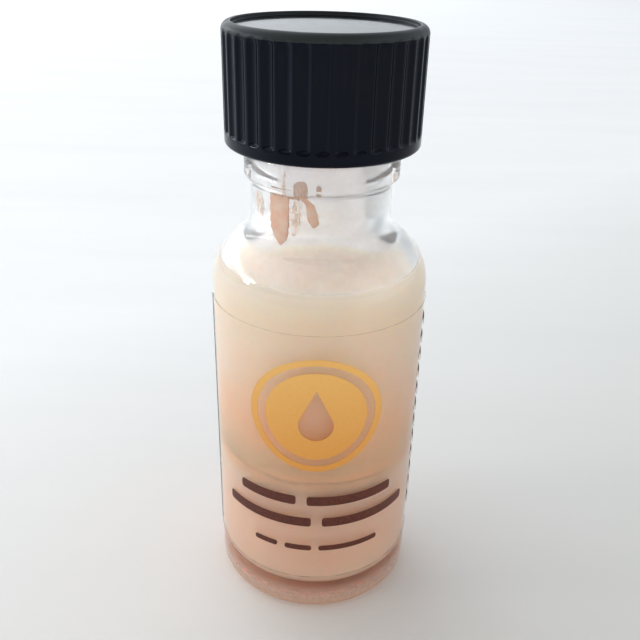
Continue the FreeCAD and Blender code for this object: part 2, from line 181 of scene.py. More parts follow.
# Lamps: name, place, target, size, power, colour, and whether shiny surfaces mirror it
LAMPS = [
    ("window", (-0.33, -0.04, 0.14), (0, 0, 0.04), (0.05, 0.045), 0.11, (1.0, 1.0, 0.98), True),
    ("window_band", (-0.52, 0.19, 0.225), (0, 0, 0.03), (0.6, 0.06), 0.32, (1.0, 1.0, 0.98), True),
    ("far_window", (-0.5, 1.1, 0.6), (-0.1, 0.6, 0.0), (0.8, 0.5), 3.2, (0.94, 1.0, 1.04), False),
    ("front_fill", (-0.05, -0.5, 0.12), (0, 0, 0.04), (0.5, 0.2), 0.5, (1.0, 0.92, 0.84), False),
    ("warm_fill", (0.3, -0.4, 0.1), (0, 0, 0.035), (0.35, 0.15), 0.3, (1.0, 0.76, 0.57), False),
]

# Camera, in metres and radians: lens in mm, place, and how far it looks down, right and leans
CAMERA_LENS = 42.99
CAMERA_PLACE = (0, -0.0826, 0.07806)
CAMERA_PITCH, CAMERA_TURN, CAMERA_ROLL = 0.4778, 0.0023, 0.0252

# Half the floor's width
FLOOR_HALF = 2500


# Outlines --------------------------------------------------------------------------------------------------


def arc(centre, radius, start, end, steps):
    """Points on an arc, from a start angle to an end angle in degrees."""
    angles = np.radians(np.linspace(start, end, steps + 1))
    return [(centre[0] + radius * math.cos(a), centre[1] + radius * math.sin(a)) for a in angles]


def line(start, end, steps):
    """Points along a straight run, both ends included."""
    return [tuple(p) for p in np.linspace(start, end, steps + 1)]


def neck_fillet(wall, blend, shoulder_radius):
    """The angle at which a shoulder arc meets the fillet into a wall of the neck, and the fillet's centre."""
    across = wall + blend - SHOULDER_CENTRE[0]
    rise = math.sqrt((shoulder_radius + blend) ** 2 - across**2)
    return math.degrees(math.atan2(rise, across)), (wall + blend, SHOULDER_CENTRE[1] + rise)


def join(*runs):
    """One outline from several runs, without doubled points."""
    points = []
    for run in runs:
        for point in run:
            if not points or math.dist(points[-1], point) > TINY:
                points.append(point)
    return points


def glass_outside():
    """The outside of the bottle from the middle of the base up to the rim's outer edge."""
    width, depth = PUSH_UP
    hollow_radius = (width**2 + depth**2) / (2 * depth)
    lean = math.degrees(math.asin(width / hollow_radius))
    tangent, blend_centre = neck_fillet(NECK_RADIUS, NECK_BLEND, SHOULDER_ROUND)
    return join(
        arc((0, depth - hollow_radius), hollow_radius, 90, 90 - lean, 12),
        line((width, 0), (BODY_RADIUS - HEEL, 0), 4),
        arc((BODY_RADIUS - HEEL, HEEL), HEEL, -90, 0, 12),
        line((BODY_RADIUS, HEEL), (BODY_RADIUS, SHOULDER_CENTRE[1]), 40),
        arc(SHOULDER_CENTRE, SHOULDER_ROUND, 0, tangent, 28),
        arc(blend_centre, NECK_BLEND, 180 + tangent, 180, 14),
        line((NECK_RADIUS, blend_centre[1]), (NECK_RADIUS, BEAD_LOW), 5),
        arc((BEAD_RADIUS - BEAD_ROUND, BEAD_LOW + BEAD_ROUND), BEAD_ROUND, -90, 0, 8),
        arc((BEAD_RADIUS - BEAD_ROUND, BEAD_HIGH - BEAD_ROUND), BEAD_ROUND, 0, 90, 8),
        line((NECK_RADIUS, BEAD_HIGH), (NECK_RADIUS, RIM_HEIGHT - RIM_ROUND), 90),
        arc((NECK_RADIUS - RIM_ROUND, RIM_HEIGHT - RIM_ROUND), RIM_ROUND, 0, 90, 8),
    )


def glass_inside(grow=0.0):
    """The inside of the bottle from the rim's inner edge down to the middle of the floor. It moves into the
    glass by grow."""
    bore, inside = BORE_RADIUS + grow, INSIDE_RADIUS + grow
    tangent, blend_centre = neck_fillet(BORE_RADIUS, NECK_BLEND_INSIDE, SHOULDER_INSIDE)
    corner = (INSIDE_RADIUS - FLOOR_ROUND, FLOOR_HEIGHT + FLOOR_ROUND)
    return join(
        arc((BORE_RADIUS + RIM_ROUND, RIM_HEIGHT - RIM_ROUND), RIM_ROUND - grow, 90, 180, 8),
        line((bore, RIM_HEIGHT - RIM_ROUND), (bore, blend_centre[1]), 30),
        arc(blend_centre, NECK_BLEND_INSIDE - grow, 180, 180 + tangent, 20),
        arc(SHOULDER_CENTRE, SHOULDER_INSIDE + grow, tangent, 0, 28),
        line((inside, SHOULDER_CENTRE[1]), (inside, corner[1]), 40),
        arc(corner, FLOOR_ROUND + grow, 0, -90, 14),
        line((corner[0], FLOOR_HEIGHT - grow), (0, FLOOR_HEIGHT - grow), 6),
    )


# A line of (radius, height) within the glass. Faces nearer the axis are on its inside.
INSIDE_LINE = [
    (BODY_RADIUS - 1.0, FILL_HEIGHT),
    (BORE_RADIUS + 1.0, SHOULDER_CENTRE[1] + 8),
    (BORE_RADIUS + 1.0, CAP_HIGH),
]


def radius_at(outline, height):
    """The outline's radius at a height, for an outline that goes one way in height there."""
    points = sorted(outline, key=lambda p: p[1])
    return float(np.interp(height, [p[1] for p in points], [p[0] for p in points]))


# Meshes ----------------------------------------------------------------------------------------------------


def make_object(name, vertices, faces, smooth=True):
    """An object whose vertices are given in millimetres."""
    mesh = bpy.data.meshes.new(name)
    mesh.from_pydata([tuple(MM * c for c in v) for v in vertices], [], faces)
    mesh.validate()
    mesh.update()
    if smooth:
        mesh.polygons.foreach_set("use_smooth", [True] * len(mesh.polygons))
    piece = bpy.data.objects.new(name, mesh)
    bpy.context.scene.collection.objects.link(piece)
    return piece


def stitched(rings, columns):
    """The faces between neighbouring rings of vertex numbers. A ring of one number is a pole."""
    faces = []
    for low, high in zip(rings, rings[1:]):
        for column in range(columns):
            after = (column + 1) % columns
            if len(low) == 1:
                faces.append((low[0], high[after], high[column]))
            elif len(high) == 1:
                faces.append((low[column], low[after], high[0]))
            else:
                faces.append((low[column], low[after], high[after], high[column]))
    return faces


def lathe(name, outline, columns, shaped):
    """A surface turned about the bottle's axis. A point of the outline on the axis becomes a pole, and
    shaped(angles, radius, height) gives the radii of any other point's ring."""
    vertices, rings = [], []
    angles = np.linspace(0, 2 * math.pi, columns, endpoint=False)
    for radius, height in outline:
        if radius < TINY:
            rings.append([len(vertices)])
            vertices.append((0, 0, height))
            continue
        radii = shaped(angles, radius, height)
        rings.append(list(range(len(vertices), len(vertices) + columns)))
        vertices += list(zip(radii * np.cos(angles), radii * np.sin(angles), np.full(columns, height)))
    return make_object(name, vertices, stitched(rings, columns))


def smooth_step(low, high, values):
    """0 up to low, 1 from high on, and an eased rise between them."""
    x = np.clip((values - low) / (high - low), 0, 1)
    return x * x * (3 - 2 * x)


def thread_height(angles, height, start, half_root, half_crest):
    """How far a thread stands out, from 0 to 1, round one ring. It fades in and out at its ends."""
    best = np.zeros_like(angles)
    length = 360 * TURNS
    for turn in range(math.ceil(TURNS)):
        along = np.degrees(angles) + 360 * turn
        away = np.abs(height - (start + PITCH * along / 360))
        ends = smooth_step(0, THREAD_FADE, along) * (1 - smooth_step(length - THREAD_FADE, length, along))
        stands = (1 - smooth_step(half_crest, half_root, away)) * ends
        best = np.maximum(best, np.where(along <= length, stands, 0))
    return best


# Materials -------------------------------------------------------------------------------------------------


class Nodes:
    """A short way to write a material's nodes."""

    def __init__(self, name):
        self.material = bpy.data.materials.new(name)
        self.material.use_nodes = True
        self.tree = self.material.node_tree
        self.tree.nodes.clear()
        self.out = self.add("ShaderNodeOutputMaterial")

    def add(self, kind, inputs=None, **settings):
        node = self.tree.nodes.new(kind)
        for key, setting in settings.items():
            setattr(node, key, setting)
        for key, given in (inputs or {}).items():
            self.put(node.inputs[key], given)
        return node

    def put(self, socket, given):
        if isinstance(given, bpy.types.NodeSocket):
            self.tree.links.new(given, socket)
        else:
            socket.default_value = given

    def place(self):
        return self.add("ShaderNodeTexCoord").outputs["Object"]

    def noise(self, scale, detail=3.0, where=None, roughness=0.5):
        node = self.add(
            "ShaderNodeTexNoise",
            {"Vector": where or self.place(), "Scale": scale, "Detail": detail, "Roughness": roughness},
        )
        return node.outputs["Fac"]

    def spread(self, given, low, high, to_low=0.0, to_high=1.0, smooth=False):
        node = self.add(
            "ShaderNodeMapRange",
            {"Value": given, "From Min": low, "From Max": high, "To Min": to_low, "To Max": to_high},
            interpolation_type="SMOOTHSTEP" if smooth else "LINEAR",
        )
        return node.outputs["Result"]

    def maths(self, operation, a, b=0.0):
        return self.add("ShaderNodeMath", {0: a, 1: b}, operation=operation).outputs[0]

    def mix(self, share, a, b):
        node = self.add("ShaderNodeMix", data_type="RGBA")
        for index, given in ((0, share), (6, a), (7, b)):
            self.put(node.inputs[index], given)
        return node.outputs[2]

    def height(self):
        """Height above the base, in millimetres."""
        split = self.add("ShaderNodeSeparateXYZ", {"Vector": self.place()})
        return self.maths("MULTIPLY", split.outputs["Z"], 1 / MM)

    def bump(self, height, strength, distance):
        node = self.add("ShaderNodeBump", {"Height": height, "Strength": strength, "Distance": distance})
        return node.outputs["Normal"]

    def principled(self, **inputs):
        return self.add("ShaderNodeBsdfPrincipled", {k.replace("_", " "): v for k, v in inputs.items()})

    def blend(self, share, without, covered):
        """One shader where share is 0, and another where it is 1."""
        return self.add("ShaderNodeMixShader", {0: share, 1: without.outputs[0], 2: covered.outputs[0]})

    def finish(self, shader):
        self.tree.links.new(shader.outputs[0], self.out.inputs["Surface"])
        return self.material


def rgb(red, green, blue):
    """A linear colour from 8-bit display values."""
    parts = [c / 255 for c in (red, green, blue)]
    return (*[c / 12.92 if c <= 0.04045 else ((c + 0.055) / 1.055) ** 2.4 for c in parts], 1.0)


def lets_lamps_through(nodes, shader, tint):
    """A shader that lamps shine through as if it were only faintly tinted."""
    shadow = nodes.add("ShaderNodeLightPath").outputs["Is Shadow Ray"]
    clear = nodes.add("ShaderNodeBsdfTransparent", {"Color": tint})
    return nodes.blend(shadow, shader, clear)


def glass_material():
    """Clear soda-lime glass with the faint waviness of a moulded bottle. The base is finely stippled, and a
    painted pink-brown tint there stands for the powder's light carried through the glass."""
    nodes = Nodes("clear_glass")
    waves = nodes.noise(260, 2.0)
    height = nodes.height()
    # Painted light: the pink-brown tint low down stands for light from the powder carried through the base.
    colour = nodes.mix(nodes.spread(height, 1.2, 4.6), (0.84, 0.58, 0.45, 1), (0.985, 0.99, 0.99, 1))
    speckle = nodes.spread(nodes.noise(2400, 3.0), 0.35, 0.65, -0.2, 0.2)
    shader = nodes.principled(
        Base_Color=colour,
        Roughness=0.0,
        IOR=GLASS_IOR,
        Transmission_Weight=nodes.spread(nodes.maths("ADD", height, speckle), 1.2, 4.2, 0.42, 1.0),
        Normal=nodes.bump(waves, 0.12, 0.00008),
    )
    return nodes.finish(lets_lamps_through(nodes, shader, (0.94, 0.945, 0.945, 1)))


def hazed_glass_material(name, clearest, cloudiest):
    """Glass with the thin haze that lotion leaves as it dries."""
    nodes = Nodes(name)
    cloud = nodes.noise(240, 4.0, roughness=0.6)
    shader = nodes.principled(
        Base_Color=(0.965, 0.96, 0.97, 1),
        Roughness=0.03,
        IOR=GLASS_IOR,
        Transmission_Weight=nodes.spread(cloud, 0.3, 0.7, clearest, cloudiest),
        Normal=nodes.bump(cloud, 0.1, 0.0001),
    )
    return nodes.finish(lets_lamps_through(nodes, shader, (0.94, 0.92, 0.9, 1)))


def cap_material(name, smoothest, roughest, black):
    """Black phenolic plastic with worn and dusty crests."""
    nodes = Nodes(name)
    cloud = nodes.noise(700, 4.0)
    grain = nodes.noise(6000, 3.0)
    dust = nodes.spread(nodes.noise(5200, 2.0), 0.68, 0.76)
    wear = nodes.spread(nodes.add("ShaderNodeNewGeometry").outputs["Pointiness"], 0.54, 0.62)
    worn = nodes.maths("MULTIPLY", wear, nodes.spread(cloud, 0.35, 0.7, 0.1, 0.6))
    colour = nodes.mix(worn, black, (0.008, 0.009, 0.014, 1))
    colour = nodes.mix(nodes.maths("MULTIPLY", dust, 0.04), colour, (0.2, 0.2, 0.2, 1))
    shader = nodes.principled(
        Base_Color=colour,
        Roughness=nodes.spread(cloud, 0.3, 0.7, smoothest, roughest),
        IOR=1.5,
        Specular_IOR_Level=0.42,
        Specular_Tint=(0.68, 0.78, 1.0, 1),
        Normal=nodes.bump(grain, 0.05, 0.00002),
    )
    return nodes.finish(shader)


def pulp_material():
    """Pressed pulp board."""
    nodes = Nodes("pulp_board")
    fibres = nodes.noise(5000, 5.0, roughness=0.7)
    colour = nodes.mix(fibres, (0.45, 0.36, 0.26, 1), (0.72, 0.62, 0.5, 1))
    shader = nodes.principled(Base_Color=colour, Roughness=0.9, Normal=nodes.bump(fibres, 0.5, 0.0001))
    return nodes.finish(shader)


def facing_material():
    """Thin white film, slightly dimpled, with a faint ring of dried lotion where it seals."""
    nodes = Nodes("liner_facing_film")
    dimples = nodes.noise(2600, 3.0)
    colour = nodes.mix(nodes.spread(dimples, 0.55, 0.75), (0.82, 0.81, 0.78, 1), (0.78, 0.6, 0.5, 1))
    shader = nodes.principled(Base_Color=colour, Roughness=0.3, Normal=nodes.bump(dimples, 0.2, 0.00005))
    return nodes.finish(shader)


CREAM = (0.985, 0.82, 0.715, 1)
SALMON = (1.0, 0.63, 0.45, 1)
# Painted shade: the top face of the same liquid takes this slightly darker tone.
SHADED_SURFACE_TONE = (0.95, 0.785, 0.66, 1)
PINK = (0.98, 0.725, 0.61, 1)
PINK_DEEP = (0.97, 0.68, 0.55, 1)
DENSE, LOOSE = 0.0004, 0.009
LIGHT_REACH = (1.0, 0.75, 0.55)


def light_reach(nodes, near, far, deepest):
    """How deep light goes. Depth shrinks where powder and liquid meet, so that neither looks cut off."""
    away = nodes.maths("ABSOLUTE", nodes.maths("SUBTRACT", nodes.height(), SEDIMENT_HEIGHT - BOUNDARY_DROP))
    return nodes.spread(away, near, far, DENSE, deepest, smooth=True)


def liquid_material(name, gloss):
    """Cloudy liquid, creamy above and deeper in colour towards the settled powder, with faint swirls. Its
    glossy top face takes a slightly darker tone, which is painted shade.
    """
    nodes = Nodes(name)
    swirl = nodes.noise(170, 4.0, roughness=0.6)
    depth = nodes.maths("ADD", nodes.height(), nodes.spread(swirl, 0.0, 1.0, -4.0, 4.0))
    share = nodes.spread(depth, SEDIMENT_HEIGHT + 1, SEDIMENT_HEIGHT + 17, smooth=True)
    shader = nodes.principled(
        Base_Color=nodes.mix(share, SALMON, SHADED_SURFACE_TONE if gloss else CREAM),
        Roughness=0.25 if gloss else 0.6,
        IOR=1.34,
        Subsurface_Weight=1.0,
        Subsurface_Radius=LIGHT_REACH,
        Subsurface_Scale=light_reach(nodes, 0.1, 2.5, LOOSE),
        Specular_IOR_Level=0.3 if gloss else 0.0,
    )
    return nodes.finish(shader)


def sediment_material():
    """Settled pink powder, slightly mottled, deeper in colour at the bottom and salmon at the very top."""
    nodes = Nodes("settled_powder")
    mottle = nodes.noise(420, 5.0, roughness=0.6)
    height = nodes.height()
    depth = nodes.maths("ADD", height, nodes.spread(mottle, 0.0, 1.0, -3.0, 3.0))
    colour = nodes.mix(nodes.spread(depth, FLOOR_HEIGHT, SEDIMENT_HEIGHT), PINK_DEEP, PINK)
    loose = nodes.spread(height, SEDIMENT_HEIGHT - 3.0, SEDIMENT_HEIGHT - 0.2, smooth=True)
    shader = nodes.principled(
        Base_Color=nodes.mix(loose, colour, SALMON),
        Roughness=0.7,
        Subsurface_Weight=1.0,
        Subsurface_Radius=LIGHT_REACH,
        Subsurface_Scale=light_reach(nodes, 0.1, 2.5, 0.006),
        Specular_IOR_Level=0.0,
    )
    return nodes.finish(shader)


def thin_residue_material(name, deep, pale, least, most):
    """A broken film of dried lotion that lets light through. Its cover goes from least to most in streaks."""
    nodes = Nodes(name)
    drawn_out = nodes.add("ShaderNodeMapping", {"Vector": nodes.place(), "Scale": (1.0, 1.0, 0.25)})
    streaks = nodes.noise(3000, 3.0, where=drawn_out.outputs["Vector"])
    chalk = nodes.principled(Base_Color=nodes.mix(streaks, deep, pale), Roughness=0.8)
    clear = nodes.add("ShaderNodeBsdfTransparent")
    share = nodes.spread(streaks, 0.4, 0.6, least, most)
    return nodes.finish(nodes.blend(share, clear, chalk))


def residue_material():
    """Dried lotion, chalky, paler where it is thin."""
    nodes = Nodes("dried_lotion")
    mottle = nodes.noise(900, 4.0)
    colour = nodes.mix(nodes.spread(mottle, 0.35, 0.65), (0.96, 0.65, 0.51, 1), (1.0, 0.79, 0.67, 1))
    shader = nodes.principled(
        Base_Color=colour,
        Roughness=0.8,
        Specular_IOR_Level=0.1,
        Normal=nodes.bump(mottle, 0.4, 0.0001),
    )
    return nodes.finish(shader)


def film_material():
    """Clear label film: almost unseen, with a thin gloss over it."""
    nodes = Nodes("clear_label_film")
    ripple = nodes.noise(900, 3.0)
    gloss = nodes.principled(
        Base_Color=(0.9, 0.88, 0.86, 1),
        Roughness=nodes.spread(ripple, 0.3, 0.7, 0.08, 0.2),
        Specular_IOR_Level=0.5,
    )
    clear = nodes.add("ShaderNodeBsdfTransparent", {"Color": (0.998, 0.997, 0.996, 1)})
    share = nodes.spread(ripple, 0.3, 0.7, 0.006, 0.014)
    return nodes.finish(nodes.blend(share, clear, gloss))


def film_edge_material(name, dark, pale, least, most):
    """A cut edge of the film, darker and tinted in patches. Its cover goes from least to most in patches."""
    nodes = Nodes(name)
    edge_mottle = nodes.noise(700, 3.0)
    edge_tone = nodes.principled(Base_Color=nodes.mix(edge_mottle, dark, pale), Roughness=0.5)
    clear = nodes.add("ShaderNodeBsdfTransparent", {"Color": (0.95, 0.94, 0.93, 1)})
    share = nodes.spread(edge_mottle, 0.35, 0.65, least, most)
    return nodes.finish(nodes.blend(share, clear, edge_tone))


def orange_ink_material():
    """Orange print, yellower at the top and deeper at the bottom, a little uneven."""
    nodes = Nodes("orange_ink")
    speckle = nodes.noise(2400, 4.0)
    height = nodes.maths("ADD", nodes.height(), nodes.spread(speckle, 0.0, 1.0, -2.0, 2.0))
    colour = nodes.mix(nodes.spread(height, 21, 35), (0.72, 0.36, 0.085, 1), (0.84, 0.54, 0.2, 1))
    shader = nodes.principled(
        Base_Color=colour,
        Roughness=nodes.spread(speckle, 0.3, 0.7, 0.3, 0.45),
        Normal=nodes.bump(speckle, 0.1, 0.00003),
    )
    return nodes.finish(lets_lamps_through(nodes, shader, (1.0, 0.85, 0.6, 1)))


def brown_ink_material():
    """Dark brown print with slightly uneven cover."""
    nodes = Nodes("brown_ink")
    speckle = nodes.noise(3200, 4.0)
    shader = nodes.principled(
        Base_Color=nodes.mix(nodes.spread(speckle, 0.3, 0.75), rgb(88, 44, 36), rgb(122, 74, 60)),
        Roughness=nodes.spread(speckle, 0.3, 0.7, 0.3, 0.5),
        Normal=nodes.bump(speckle, 0.1, 0.00003),
    )
    return nodes.finish(shader)


def floor_material():
    """Pale matt paper with soft streaks, and painted shade that makes it a little darker towards the near
    right.
    """
    nodes = Nodes("pale_floor")
    drawn_out = nodes.add("ShaderNodeMapping", {"Vector": nodes.place(), "Scale": (6.0, 45.0, 1.0)})
    streaks = nodes.noise(1.0, 5.0, where=drawn_out.outputs["Vector"], roughness=0.6)
    split = nodes.add("ShaderNodeSeparateXYZ", {"Vector": nodes.place()})
    back = nodes.maths("MULTIPLY", split.outputs["Y"], 1.25)
    # Painted shade: the paper's colour darkens towards the near right, standing for light that falls off
    # there.
    shade = nodes.spread(nodes.maths("SUBTRACT", split.outputs["X"], back), -0.13, 0.06)
    paper_with_painted_shade = nodes.mix(shade, (0.93, 0.94, 0.955, 1), (0.715, 0.718, 0.708, 1))
    colour = nodes.mix(nodes.spread(streaks, 0.4, 0.75, 0.0, 0.06), paper_with_painted_shade, (0.5, 0.52, 0.54, 1))
    grain = nodes.bump(nodes.noise(900), 0.1, 0.0001)
    return nodes.finish(nodes.principled(Base_Color=colour, Roughness=0.85, Normal=grain))


# Pieces ----------------------------------------------------------------------------------------------------


def settle(piece, body, node, slot, *materials):
    """Gives a piece its materials and its body, and hides the CAD node it stands for. The slot is not used.
    """
    for material in materials:
        piece.data.materials.append(material)
    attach(piece, body)
    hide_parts(node)


def make_glass():
    """The bottle, with its thread standing out of the finish and fading at both ends."""

    def shaped(angles, radius, height):
        on_finish = abs(radius - NECK_RADIUS) < TINY and BEAD_HIGH < height < RIM_HEIGHT - RIM_ROUND
        if not on_finish:
            return np.full(len(angles), radius)
        stands = thread_height(angles, height, GLASS_THREAD_START, *GLASS_THREAD_HALVES)
        return radius + (THREAD_RADIUS - NECK_RADIUS) * stands

    outline = join(glass_outside(), glass_inside())
    piece = lathe("glass_bottle_shell", outline, GLASS_COLUMNS, shaped)
    inner_haze = hazed_glass_material("hazed_glass", 0.72, 0.58)
    outer_haze = hazed_glass_material("hazed_glass_finish", 0.88, 0.78)
    settle(piece, "bottle", "glass_bottle", "clear_glass", glass_material(), inner_haze, outer_haze)
    for face in piece.data.polygons:
        place = face.center / MM
        if math.hypot(place.x, place.y) < radius_at(INSIDE_LINE, place.z):
            face.material_index = int(FILL_HEIGHT < place.z < RIM_HEIGHT - RIM_ROUND)
        elif place.z > HAZE_LOW:
            face.material_index = 2


def cap_outline():
    """The cap's section, from the middle of its top over the outside to the middle of its ceiling."""
    edge_centre = (CAP_RADIUS - CAP_EDGE, CAP_HIGH - CAP_EDGE)
    foot_centre = (CAP_RADIUS - CAP_FOOT, CAP_LOW + CAP_FOOT)
    recess = CAP_HIGH - RECESS_DEPTH
    flute_top, flute_foot = FLUTE_HIGH - 2 * FLUTE_HALF_WIDTH, FLUTE_LOW + 2 * FLUTE_HALF_WIDTH
    skirt_low = CAP_LOW + CAP_LEAD
    return join(
        line((0, recess), (RECESS_RADIUS - CAP_LIP, recess), 12),
        arc((RECESS_RADIUS - CAP_LIP, recess + CAP_LIP), CAP_LIP, -90, 0, 4),
        arc((RECESS_RADIUS + CAP_LIP, CAP_HIGH - CAP_LIP), CAP_LIP, 180, 90, 4),
        arc(edge_centre, CAP_EDGE, 90, 0, 14),
        line((CAP_RADIUS, edge_centre[1]), (CAP_RADIUS, flute_top), 10),
        line((CAP_RADIUS, flute_top), (CAP_RADIUS, flute_foot), 6),
        line((CAP_RADIUS, flute_foot), (CAP_RADIUS, FLUTE_LOW), 14),
        line((CAP_RADIUS, FLUTE_LOW), (CAP_RADIUS, foot_centre[1]), 4),
        arc(foot_centre, CAP_FOOT, 0, -90, 7),
        line((foot_centre[0], CAP_LOW), (SKIRT_INSIDE + CAP_LEAD, CAP_LOW), 3),
        line((SKIRT_INSIDE + CAP_LEAD, CAP_LOW), (SKIRT_INSIDE, skirt_low), 2),
        line((SKIRT_INSIDE, skirt_low), (SKIRT_INSIDE, CEILING), 90),
        line((SKIRT_INSIDE, CEILING), (0, CEILING), 6),
    )


def make_cap():
    """The cap, with its thread inside, and flutes outside that stop above a plain band."""
    spacing = 2 * math.pi / FLUTES

    def shaped(angles, radius, height):
        if abs(radius - SKIRT_INSIDE) < TINY:
            stands = thread_height(angles, height, CAP_THREAD_START, *CAP_THREAD_HALVES)
            return radius - (SKIRT_INSIDE - CAP_THREAD_RADIUS) * stands
        if radius < CAP_RADIUS - FLUTE_DEPTH or height < FLUTE_LOW or height > FLUTE_HIGH:
            return np.full(len(angles), radius)
        aside = CAP_RADIUS * ((angles + spacing / 2) % spacing - spacing / 2)
        past = max(height - (FLUTE_HIGH - FLUTE_HALF_WIDTH), 0)
        reach = np.minimum(np.hypot(aside, past), FLUTE_HALF_WIDTH)
        depth = FLUTE_DEPTH - FLUTE_CUTTER + np.sqrt(FLUTE_CUTTER**2 - reach**2)
        return np.minimum(radius, CAP_RADIUS - depth * smooth_step(0, FLUTE_FADE, height - FLUTE_LOW))

    piece = lathe("screw_cap_shell", cap_outline()[::-1], FLUTES * FLUTE_COLUMNS, shaped)
    blue_black = (0.0003, 0.0008, 0.005, 1)
    satin = cap_material("black_phenolic", 0.12, 0.22, blue_black)
    polished = cap_material("black_phenolic_disc", 0.07, 0.12, blue_black)
    # The rounded top edge gets a paler grey-green colour and a rougher finish than the rest.
    pale_rough_edge = cap_material("black_phenolic_edge", 0.3, 0.42, (0.042, 0.048, 0.046, 1))
    settle(piece, "cap", "screw_cap", "cap_plastic", satin, polished, pale_rough_edge)
    for face in piece.data.polygons:
        height = face.center.z / MM
        if height > CAP_HIGH - RECESS_DEPTH - 0.01 and face.normal.z > 0.999:
            face.material_index = 1
        elif height > CAP_HIGH - CAP_EDGE:
            face.material_index = 2


def dress_liner():
    """The liner's two discs keep their CAD shapes."""
    for node, material in (("liner_backing", pulp_material()), ("liner_facing", facing_material())):
        disc = frame["nodes"][node]
        disc.data.materials.clear()
        disc.data.materials.append(material)


def boundary_height(angles, radius):
    """The top of the powder, nearly level, with soft lumps."""
    lumps = 0.25 * np.sin(2 * angles + 0.7) + 0.12 * np.sin(5 * angles + 2.1) + 0.06 * np.sin(11 * angles)
    return SEDIMENT_HEIGHT - BOUNDARY_DROP + radius / INSIDE_RADIUS * lumps


def closed_between(name, outline, columns, top, bottom):
    """A turned solid whose wall follows an outline. top(angles, radius) and bottom(angles, radius) give the
    heights of its two ends."""
    angles = np.linspace(0, 2 * math.pi, columns, endpoint=False)
    rings = []
    (low_radius, lowest), (high_radius, highest) = outline[0], outline[-1]
    for share in np.linspace(0, 1, BOTTOM_RINGS + 1)[:-1]:
        radius = low_radius * share
        rings.append((radius, bottom(angles, radius)))
    low_shift, high_shift = bottom(angles, low_radius) - lowest, top(angles, high_radius) - highest
    for radius, height in outline:
        along = (height - lowest) / (highest - lowest)
        rings.append((radius, height + (1 - along) * low_shift + along * high_shift))
    for share in np.linspace(1, 0, TOP_RINGS + 1)[1:]:
        radius = high_radius * share
        rings.append((radius, top(angles, radius)))
    vertices, indices = [], []
    for radius, heights in rings:
        if radius < TINY:
            indices.append([len(vertices)])
            vertices.append((0, 0, float(np.mean(heights))))
            continue
        indices.append(list(range(len(vertices), len(vertices) + columns)))
        vertices += list(zip(radius * np.cos(angles), radius * np.sin(angles), heights))
    piece = make_object(name, vertices, stitched(indices, columns))
    piece.data.set_sharp_from_angle(angle=math.radians(SHARP_ANGLE))
    return piece


def inner_wall(low, high):
    """The inside of the glass, a hair into it, between two heights and from the bottom up."""
    outline = glass_inside(WALL_OVERLAP)
    points = [p for p in outline[::-1] if low < p[1] < high]
    return [(radius_at(outline, low), low), *points, (radius_at(outline, high), high)]


def liquid_top(angles, radius):
    """The surface, which climbs where it wets the glass."""
    edge = radius_at(glass_inside(WALL_OVERLAP), FILL_HEIGHT)
    climb = MENISCUS_RISE * math.exp(-(edge - radius) / MENISCUS_REACH)
    return np.full(len(angles), FILL_HEIGHT - SURFACE_DROP + climb)


def make_liquid():
    """The liquid, from the powder up to a surface that is glossier than its sides."""
    wall = inner_wall(SEDIMENT_HEIGHT, FILL_HEIGHT)
    piece = closed_between("cloudy_liquid", wall, CONTENTS_COLUMNS, liquid_top, boundary_height)
    sides = liquid_material("cloudy_liquid_wall", False)
    surface = liquid_material("cloudy_liquid_surface", True)
    settle(piece, "bottle", "lotion_liquid", "cloudy_liquid", sides, surface)
    for face in piece.data.polygons:
        face.material_index = int(face.normal.z > 0.3 and face.center.z > (FILL_HEIGHT - 1) * MM)


def make_sediment():
    """The powder, settled on the floor of the bottle."""

    def flat_floor(angles, radius):
        return np.full(len(angles), FLOOR_HEIGHT - WALL_OVERLAP)

    flat_edge = INSIDE_RADIUS - FLOOR_ROUND - 0.1
    outline = [p for p in glass_inside(WALL_OVERLAP)[::-1] if p[1] < SEDIMENT_HEIGHT and p[0] > flat_edge]
    outline.append((INSIDE_RADIUS + WALL_OVERLAP, SEDIMENT_HEIGHT))
    piece = closed_between("settled_powder", outline, CONTENTS_COLUMNS, boundary_height, flat_floor)
    settle(piece, "bottle", "lotion_sediment", "pink_powder", sediment_material())


# Wrapped pieces --------------------------------------------------------------------------------------------


def wrapped(name, panels, smooth=False):
    """Thin closed sheets bent round the bottle's axis. A panel is four grids, for azimuths in degrees,
    heights, inner radii and outer radii, and whether its last column joins its first."""
    vertices, faces = [], []
    for azimuths, heights, inner, outer, closes in panels:
        rows, columns = azimuths.shape
        angles = np.radians(azimuths)
        first = len(vertices)
        for radii in (outer, inner):
            points = (radii * np.sin(angles), -radii * np.cos(angles), heights)
            vertices += list(zip(*(part.ravel() for part in points)))
        skip = rows * columns
        last = columns if closes else columns - 1
        for row in range(rows - 1):
            for column in range(last):
                after = (column + 1) % columns
                a, b = first + row * columns + column, first + row * columns + after
                c, d = b + columns, a + columns
                faces.append((a, b, c, d))
                faces.append((d + skip, c + skip, b + skip, a + skip))
        for column in range(last):
            after = (column + 1) % columns
            low, low_after = first + column, first + after
            high, high_after = low + (rows - 1) * columns, low_after + (rows - 1) * columns
            faces.append((low_after, low, low + skip, low_after + skip))
            faces.append((high, high_after, high_after + skip, high + skip))
        if not closes:
            for row in range(rows - 1):
                left, left_up = first + row * columns, first + (row + 1) * columns
                right, right_up = left + columns - 1, left_up + columns - 1
                faces.append((left, left_up, left_up + skip, left + skip))
                faces.append((right_up, right, right + skip, right_up + skip))
    return make_object(name, vertices, faces, smooth)


